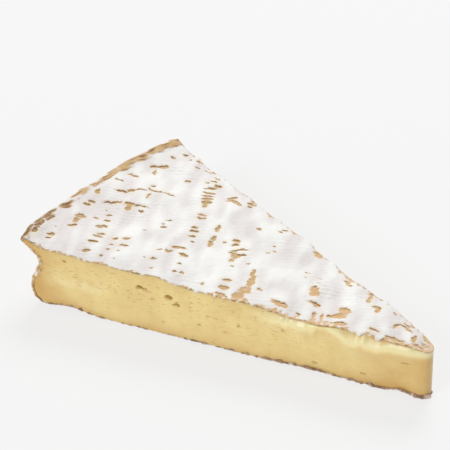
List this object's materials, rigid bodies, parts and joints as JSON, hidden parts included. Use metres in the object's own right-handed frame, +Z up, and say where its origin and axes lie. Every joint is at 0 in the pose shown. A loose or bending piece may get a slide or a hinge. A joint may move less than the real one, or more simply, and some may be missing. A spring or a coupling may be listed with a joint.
{
  "type": "brie cheese wedge",
  "caption": "Cut wedge of soft white-rinded brie lying flat, with a raised rim lip, two flat cuts that show the paste and a rounded point.",
  "frame": {"origin": "on the table under the wedge, half way along its length and on its centre line", "axes": "+X along the wedge from rim to point, +Y from the cut that shows in the picture towards the other cut, +Z up"},
  "size_m": [0.1799, 0.102, 0.0333],
  "materials": {
    "paste": "soft satin, creamy yellow paste",
    "rind": "matt white mould over a tan skin"
  },
  "bodies": {
    "root": {"brie_wedge": "paste"}
  },
  "joints": []
}
